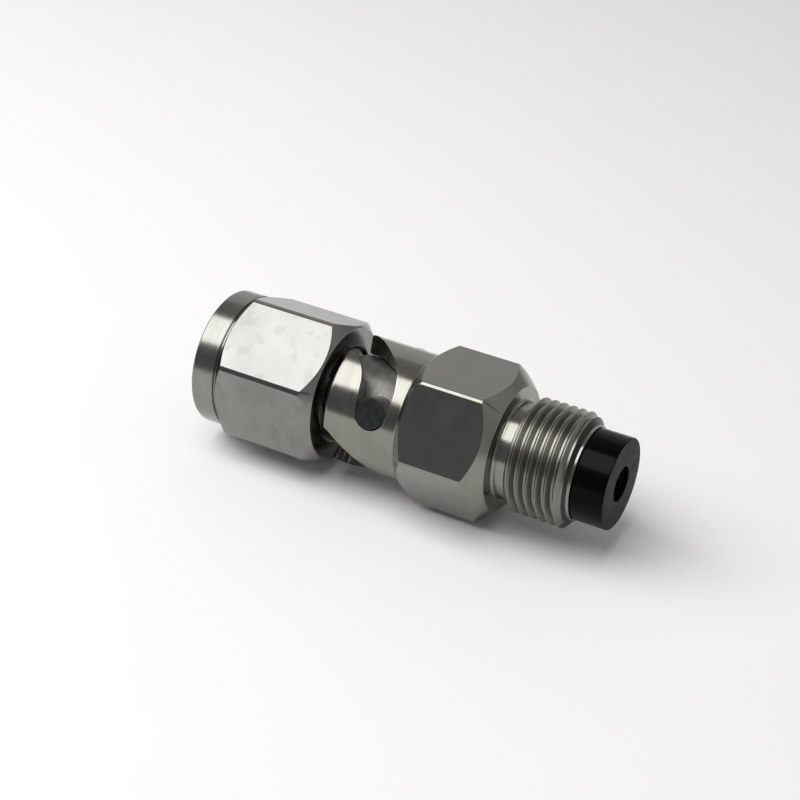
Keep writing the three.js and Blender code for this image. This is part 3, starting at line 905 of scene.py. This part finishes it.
plugSet = {
    "left": -13.3,
    "right": 5.4,
    "radius": 8.6,
    "bore": 3.5,
    "spigotBore": 6.15,
    "spigotBoreEnd": -7.9,
    "grooveLeft": 0.6,
    "grooveRight": 3.9,
    "grooveFloor": 6.95,
    "holeRadius": 3.06,
    "holeFloor": 5,
}

pinSet = {
    "radius": 3.0,
    "inner": 5.25,
    "outer": 12.5,
    "edge": 0.15,
    "dish": 0.05,
}


def makePin(s, slots):
    # dowel standing along -Y at the pin station, its end face slightly dished
    deselectAll()
    bpy.ops.mesh.primitive_cylinder_add(
        vertices=72, radius=s["radius"] * mm, depth=(s["outer"] - s["inner"]) * mm,
        location=(slots["pinStation"] * mm, -(s["outer"] + s["inner"]) / 2 * mm, 0),
        rotation=(math.pi / 2, 0, 0))
    pin = bpy.context.active_object
    pin.name = "bayonetPinA"
    bpy.ops.object.transform_apply(location=True, rotation=True, scale=True)
    edit(pin)
    selectFaces(pin, lambda face: abs(face.normal.y) > 0.9)
    bpy.ops.mesh.bevel(offset=s["edge"] * mm, segments=4, affect="EDGES")
    selectFaces(pin, lambda face: face.normal.y < -0.99 and len(face.verts) > 20)
    bpy.ops.mesh.inset(thickness=0.35 * mm)
    bpy.ops.transform.translate(value=(0, 0.012 * mm, 0))
    bpy.ops.mesh.inset(thickness=1.2 * mm)
    bpy.ops.transform.translate(value=(0, s["dish"] * mm, 0))
    tidyMesh()
    leaveEdit()
    smoothPiece(pin, 40)
    return pin


def makePlug(s, slots):
    plug = turnPiece("bayonetPlug", [
        (s["left"], s["spigotBore"], 0.3),
        (s["left"], s["radius"], 0.5),
        (s["grooveLeft"], s["radius"], 0.12),
        (s["grooveLeft"], s["grooveFloor"], 0.15),
        (s["grooveRight"], s["grooveFloor"], 0.15),
        (s["grooveRight"], s["radius"], 0.12),
        (s["right"], s["radius"], 0.6),
        (s["right"], s["bore"], 0.4),
        (s["spigotBoreEnd"], s["bore"], 0.2),
        (s["spigotBoreEnd"], s["spigotBore"], 0.2),
    ])
    for i in range(slots["count"]):
        deselectAll()
        bpy.ops.mesh.primitive_cylinder_add(
            vertices=72, radius=s["holeRadius"] * mm, depth=s["radius"] * mm,
            location=(slots["pinStation"] * mm, -(s["holeFloor"] + s["radius"] / 2) * mm, 0),
            rotation=(math.pi / 2, 0, 0))
        hole = bpy.context.active_object
        bpy.ops.object.transform_apply(location=True, rotation=True, scale=True)
        turnAboutX(hole, -slots["pinAngle"] - i * 360 / slots["count"])
        carve(plug, hole)
    smoothPiece(plug)
    return plug


bayonetPlug = makePlug(plugSet, slotSet)
dress(bayonetPlug, "plug", "bayonet_plug", "inner_steel", paintedShadePlugSteel)
firstPin = makePin(pinSet, slotSet)
pins = [firstPin]
for i, letter in enumerate("BC"):
    degrees = -slotSet["pinAngle"] - (i + 1) * 360 / slotSet["count"]
    pins.append(copyTurned(firstPin, "bayonetPin" + letter, degrees))
turnAboutX(firstPin, -slotSet["pinAngle"])
for i, pin in enumerate(pins):
    dress(pin, "plug", f"bayonet_pin_{i + 1}", "pin_steel", pinSideSteel, pinEndSteel)
    assignFinish(pin, 1, lambda face: aroundAxis(face) > 0.35)
print("plug and pins made")


# Tail piece and what is round it

tailSet = {
    "flangeLeft": -30.4,
    "flangeRight": -27.8,
    "flange": 9.5,
    "neck": 7.5,
    "shoulder": -13.7,
    "spigot": 6,
    "end": -8.2,
    "bore": 3.5,
    "ringLeft": -17,
    "ringRight": -15.8,
    "ringFloor": 7,
    "grooveLeft": -10.4,
    "grooveRight": -9,
    "grooveFloor": 4.85,
}


def makeTailPiece(s):
    tail = turnPiece("tailPiece", [
        (s["flangeLeft"], s["bore"], 0.5),
        (s["flangeLeft"], s["flange"], 0.3),
        (s["flangeRight"], s["flange"], 0.15),
        (s["flangeRight"], s["neck"], 0.2),
        (s["ringLeft"], s["neck"], 0.08),
        (s["ringLeft"], s["ringFloor"]),
        (s["ringRight"], s["ringFloor"]),
        (s["ringRight"], s["neck"], 0.08),
        (s["shoulder"], s["neck"], 0.3),
        (s["shoulder"], s["spigot"], 0.15),
        (s["grooveLeft"], s["spigot"], 0.08),
        (s["grooveLeft"], s["grooveFloor"], 0.1),
        (s["grooveRight"], s["grooveFloor"], 0.1),
        (s["grooveRight"], s["spigot"], 0.08),
        (s["end"], s["spigot"], 0.3),
        (s["end"], s["bore"], 0.3),
    ])
    smoothPiece(tail)
    return tail


dress(makeTailPiece(tailSet), "plug", "tail_piece", "inner_steel", paintedShadePlugSteel)

ringSet = {"inner": 7.15, "outer": 8.9, "thickness": 0.9, "gap": 0.35, "left": -16.85, "edge": 0.12}


def makeRetainingRing(s):
    # the section is spun most of the way round, so the ring stays open
    ends = s["left"], s["left"] + s["thickness"]
    ring = turnPiece("nutRetainingRing", [
        (ends[0], s["inner"], s["edge"]),
        (ends[0], s["outer"], s["edge"]),
        (ends[1], s["outer"], s["edge"]),
        (ends[1], s["inner"], s["edge"]),
    ], steps=120, angle=2 * math.pi - 2 * s["gap"])
    smoothPiece(ring)
    return ring


retainingRing = makeRetainingRing(ringSet)
dress(retainingRing, "plug", "nut_retaining_ring", "spring_steel", springSteel)

washerSet = {
    "nutThrustWasher": (7.8, 9.4, -27.6, -27.1, 0.1, "plug", "nut_thrust_washer", "white_plastic"),
    "inletGasket": (4, 9.3, -31.7, -30.7, 0.2, "plug", "inlet_gasket", "rubber"),
    "backupRing": (7.1, 8.7, 2.6, 3.6, 0.1, "plug", "backup_ring", "white_plastic"),
    "thrustWasher": (4.2, 8.5, 5.7, 6.5, 0.15, "thrust", "thrust_washer", "white_plastic"),
    "poppetSeal": (3.15, 4.5, 16.3, 17.05, 0.12, "lifting_poppet", "poppet_seal", "rubber"),
}


def makeWashers(settings):
    finishes = {"white_plastic": whitePlastic, "rubber": sealRubber}
    for name, (inner, outer, left, right, edge, body, nodeName, slotName) in settings.items():
        # a shallow groove on each face leaves a rim at the bore and at the outside
        third = (outer - inner) / 3
        dip = min(0.06, (right - left) / 8)
        washer = turnPiece(name, [
            (left, inner, edge),
            (left, inner + third, 0.1),
            (left + dip, inner + third + 0.12, 0.05),
            (left + dip, outer - third - 0.12, 0.05),
            (left, outer - third, 0.1),
            (left, outer, edge),
            (right, outer, edge),
            (right, outer - third, 0.1),
            (right - dip, outer - third - 0.12, 0.05),
            (right - dip, inner + third + 0.12, 0.05),
            (right, inner + third, 0.1),
            (right, inner, edge),
        ], steps=120)
        smoothPiece(washer, 40)
        dress(washer, body, nodeName, slotName, finishes[slotName])


makeWashers(washerSet)

oRingSet = {
    "plugORing": (7.83, 0.78, 1.6, "plug", "plug_o_ring"),
    "tailORing": (5.5, 0.5, -9.7, "plug", "tail_o_ring"),
    "seatORing": (5.72, 0.58, 14.0, "socket", "seat_o_ring"),
}


def makeORings(settings, sides=28):
    for name, (ringRadius, section, station, body, nodeName) in settings.items():
        # the section has a fine moulding flash at its inside and outside
        stations = []
        for k in range(sides):
            angle = 2 * math.pi * k / sides
            reach = section * (0.985 if k % (sides // 2) else 1.0)
            stations.append((station + reach * math.sin(angle), ringRadius - reach * math.cos(angle)))
        ring = turnPiece(name, stations, steps=120)
        smoothPiece(ring, 60)
        dress(ring, body, nodeName, "rubber", sealRubber)


makeORings(oRingSet)
print("tail piece, rings and washers made")


# Springs

waveSet = {"inner": 6.7, "outer": 8.3, "thickness": 0.4, "waves": 3, "height": 0.7, "station": 7.85}


def makeWaveSpring(s):
    half = s["thickness"] / 2
    spring = turnPiece("bayonetSpring", [
        (s["station"] - half, s["inner"], 0.07),
        (s["station"] - half, s["outer"], 0.07),
        (s["station"] + half, s["outer"], 0.07),
        (s["station"] + half, s["inner"], 0.07),
    ], steps=144)
    for vertex in spring.data.vertices:
        angle = math.atan2(vertex.co.y, -vertex.co.z)
        vertex.co.x += s["height"] * mm * math.cos(s["waves"] * (angle - math.pi / 2))
    smoothPiece(spring, 40)
    return spring


dress(makeWaveSpring(waveSet), "socket", "bayonet_spring", "spring_steel", springSteel)

coilSet = {"radius": 3.6, "wire": 0.5, "left": 19.4, "length": 6.4, "turns": 5.5,
           "fixedEnd": 26.3, "pressed": 0.8}


def makeCoilSpring(s):
    # a round section screwed along X, with ground ends
    deselectAll()
    bpy.ops.mesh.primitive_circle_add(
        vertices=20, radius=s["wire"] * mm, fill_type="NOTHING",
        location=(s["left"] * mm, s["radius"] * mm, 0))
    spring = bpy.context.active_object
    spring.name = "valveSpring"
    bpy.ops.object.transform_apply(location=True, rotation=True, scale=True)
    useModifier(spring, "SCREW", axis="X", angle=2 * math.pi * s["turns"], screw_offset=s["length"] * mm,
                iterations=1, steps=264, render_steps=264)
    edit(spring)
    bpy.ops.mesh.select_mode(type="EDGE")
    bpy.ops.mesh.select_non_manifold()
    bpy.ops.mesh.fill_holes(sides=0)
    selectFaces(spring, lambda face: len(face.verts) > 10)
    bpy.ops.mesh.inset(thickness=0.06 * mm)
    tidyMesh()
    leaveEdit()
    smoothPiece(spring, 50)
    return spring


valveSpring = makeCoilSpring(coilSet)
dress(valveSpring, "socket", "valve_spring", "spring_steel", springSteel)
# the lifting poppet presses the spring against its guide
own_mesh(valveSpring)
print("springs made")


# Valve cartridge in the socket's chamber

seatSet = {"left": 12, "length": 4, "radius": 6.2, "hole": 2.4, "mouth": 0.8, "groove": (1.2, 2.8, 5)}


def makeSeat(s):
    left, right = s["left"], s["left"] + s["length"]
    grooveLeft, grooveRight, grooveFloor = s["groove"]
    seat = turnPiece("valveSeat", [
        (left, s["hole"], 0.2),
        (left, s["radius"], 0.25),
        (left + grooveLeft, s["radius"], 0.08),
        (left + grooveLeft, grooveFloor, 0.12),
        (left + grooveRight, grooveFloor, 0.12),
        (left + grooveRight, s["radius"], 0.08),
        (right, s["radius"], 0.25),
        (right, s["hole"] + s["mouth"], 0.06),
        (right - s["mouth"], s["hole"], 0.06),
    ], steps=120)
    smoothPiece(seat)
    return seat


dress(makeSeat(seatSet), "socket", "valve_seat", "inner_steel", innerSteel)

poppetSet = {"face": 16, "cone": 1.4, "coneBase": 2.85, "disc": 4.6, "discLeft": 1.2, "discRight": 2.6,
             "hub": 2.6, "hubTop": 2.4, "hubLength": 0.8, "stem": 1.5, "stemEnd": 12.8, "tip": 0.4}


def makePoppet(s):
    x = s["face"]
    poppet = turnPiece("reliefPoppet", [
        (x - s["cone"], 0),
        (x - s["cone"], s["coneBase"] - s["cone"], 0.15),
        (x, s["coneBase"], 0.08),
        (x + s["discLeft"], s["coneBase"], 0.05),
        (x + s["discLeft"], s["disc"], 0.15),
        (x + s["discRight"], s["disc"], 0.15),
        (x + s["discRight"], s["hub"], 0.05),
        (x + s["discRight"] + s["hubLength"], s["hubTop"], 0.2),
        (x + s["discRight"] + s["hubLength"], s["stem"], 0.05),
        (x + s["stemEnd"], s["stem"], s["tip"]),
        (x + s["stemEnd"], 0),
    ], steps=96, closed=False)
    smoothPiece(poppet)
    return poppet


dress(makePoppet(poppetSet), "lifting_poppet", "poppet", "inner_steel", innerSteel)

guideSet = {"left": 26.6, "right": 28.9, "radius": 6.2, "bore": 1.8,
            "holes": 6, "circle": 4.75, "hole": 0.85}


def makeGuide(s):
    guide = turnPiece("springGuide", [
        (s["left"], s["bore"], 0.15),
        (s["left"], s["radius"], 0.2),
        (s["right"], s["radius"], 0.2),
        (s["right"], s["bore"], 0.15),
    ], steps=120)
    for i in range(s["holes"]):
        angle = 2 * math.pi * i / s["holes"]
        carve(guide, roundBar(s["hole"], s["left"] - 1, s["right"] + 1, 40,
                              s["circle"] * math.cos(angle), s["circle"] * math.sin(angle)))
    smoothPiece(guide)
    return guide


dress(makeGuide(guideSet), "socket", "spring_guide", "inner_steel", innerSteel)

screwSet = {"left": 29.2, "right": 31.8, "radius": 6.2, "dish": 5.6, "dishDepth": 0.8, "key": 6}


def makeScrew(s):
    screw = turnPiece("adjustingScrew", [
        (s["left"] + s["dishDepth"], 0),
        (s["left"] + s["dishDepth"], s["dish"], 0.1),
        (s["left"], s["dish"], 0.1),
        (s["left"], s["radius"], 0.15),
        (s["right"], s["radius"], 0.3),
        (s["right"], 3.9, 0.1),
        (s["right"] - 0.35, 3.5, 0.05),
        (s["right"] - 0.35, 0),
    ], steps=120, closed=False)
    carve(screw, hexStock(s["key"], s["left"] - 1, s["right"] + 1))
    smoothPiece(screw)
    return screw


dress(makeScrew(screwSet), "socket", "adjusting_screw", "inner_steel", innerSteel)

lockSet = {"left": 32.1, "right": 33.5, "radius": 6.2, "bore": 3.6, "slot": 1.6, "floor": 0.6}


def makeLockRing(s):
    ring = turnPiece("lockRing", [
        (s["left"], s["bore"], 0.15),
        (s["left"], s["radius"], 0.15),
        (s["right"], s["radius"], 0.25),
        (s["right"], s["bore"], 0.25),
    ], steps=120)
    deselectAll()
    bpy.ops.mesh.primitive_cube_add(size=mm, location=((s["left"] + s["floor"] + 1) * mm, 0, 0),
                                    scale=(2, s["slot"], s["radius"] * 2 + 2))
    slot = bpy.context.active_object
    bpy.ops.object.transform_apply(location=True, rotation=True, scale=True)
    carve(ring, slot)
    smoothPiece(ring)
    return ring


dress(makeLockRing(lockSet), "socket", "lock_ring", "inner_steel", innerSteel)
print("valve cartridge made")


# Plastic nose

noseSet = {
    "left": 33.9,
    "stem": 6.2,
    "flangeLeft": 35.95,
    "flange": 8.8,
    "end": 42.2,
    "bore": 3.4,
    "edge": 0.25,
    "ridges": 7,
    "ridgePitch": 0.55,
    "ridgeDepth": 0.16,
}


def makeNose(s):
    profile = [
        (s["left"], s["bore"], 0.2),
        (s["left"], s["stem"], 0.2),
        (s["flangeLeft"], s["stem"], 0.05),
        (s["flangeLeft"], s["flange"], 0.15),
        (s["end"], s["flange"], s["edge"]),
        (s["end"], s["bore"], s["edge"]),
    ]
    # turning ridges inside the bore, near its mouth
    for i in range(s["ridges"]):
        x = s["end"] - 0.8 - i * s["ridgePitch"]
        profile += [(x, s["bore"]), (x - 0.2, s["bore"] + s["ridgeDepth"], 0.05), (x - 0.4, s["bore"])]
    nose = turnPiece("noseSeal", profile)
    smoothPiece(nose)
    dress(nose, "socket", "nose_seal", "black_plastic", blackPlastic, facedPlastic)
    print("  front face:", assignFinish(nose, 1, lambda face: face.normal.x > 0.9))
    return nose


makeNose(noseSet)
print("nose made")


# Floor, light and background

stageSet = {
    "floorSize": 6000,
    "floorColour": (0.93, 0.927, 0.918),
    "world": (
        (-0.95, (0.185, 0.192, 0.203)),
        (-0.45, (0.12, 0.122, 0.126)),
        (-0.1, (0.11, 0.11, 0.112)),
        (0.3, (0.29, 0.288, 0.282)),
        (0.7, (0.38, 0.377, 0.37)),
    ),
    "rightGlow": 0.34,
}

lightSet = {
    "overheadBox": {"aim": 70, "distance": 620, "length": 900, "width": 480, "glow": 3.55,
                    "across": -0.388},
    "rearBox": {"aim": 156, "distance": 900, "length": 1200, "width": 620, "glow": 0.34, "across": -0.388},
}


def makeFloor(s):
    deselectAll()
    bpy.ops.mesh.primitive_plane_add(size=s["floorSize"] * mm, location=(0, 0, cadLow.z - 0.01 * mm))
    floor = bpy.context.active_object
    floor.name = "paleFloor"
    finish, tree, shader, place = startFinish("paleFloorFinish", 0.0, 0.2)
    grain = noise(tree, (-8, 1), place.outputs["Object"], 40, 3)
    light = s["floorColour"]
    tint = ramp(tree, (-5, 1), grain, ((0.2, tuple(c * 0.99 for c in light)), (0.8, light)))
    tree.links.new(tint, shader.inputs["Base Color"])
    shader.inputs["Roughness"].default_value = 0.8
    floor.data.materials.append(finish)


def makeWorld(s):
    # darker towards the front, paler behind and to the right
    world = bpy.data.worlds.new("studioWorld")
    bpy.context.scene.world = world
    world.use_nodes = True
    tree = world.node_tree
    place = addNode(tree, "TexCoord", (-6, 0))
    parts = addNode(tree, "SeparateXYZ", (-5, 0))
    tree.links.new(place.outputs["Generated"], parts.inputs[0])
    value = spread(tree, (-4, 0), parts.outputs["Y"], 0, 1, -1, 1)
    colour = ramp(tree, (-3, 0), value, [((y + 1) / 2, glow) for y, glow in s["world"]])
    right = spread(tree, (-4, -2), parts.outputs["X"], 0, s["rightGlow"], 0.45, 0.95)
    colour = blendColour(tree, (-2, 0), 1.0, colour, right, "ADD")
    tree.links.new(colour, tree.nodes["Background"].inputs["Color"])


def makeLights(settings):
    # each softbox stands where the round surfaces reflect it as a band
    for name, s in settings.items():
        angle = math.radians(s["aim"])
        sideways = math.sqrt(1 - s["across"] ** 2)
        towards = Vector((s["across"], -sideways * math.cos(angle), sideways * math.sin(angle)))
        bpy.ops.object.light_add(type="AREA", location=towards * s["distance"] * mm)
        lamp = bpy.context.active_object
        lamp.name = name
        lamp.data.shape = "RECTANGLE"
        lamp.data.size = s["length"] * mm
        lamp.data.size_y = s["width"] * mm
        lamp.data.energy = s["glow"] * math.pi * lamp.data.size * lamp.data.size_y
        side = Vector((0, -towards.z, towards.y)).normalized()
        along = side.cross(towards).normalized()
        lamp.matrix_world = Matrix((
            (along.x, side.x, towards.x, lamp.location.x),
            (along.y, side.y, towards.y, lamp.location.y),
            (along.z, side.z, towards.z, lamp.location.z),
            (0, 0, 0, 1)))


makeFloor(stageSet)
makeWorld(stageSet)
makeLights(lightSet)
bpy.context.scene.view_settings.view_transform = "Standard"
print("stage made")
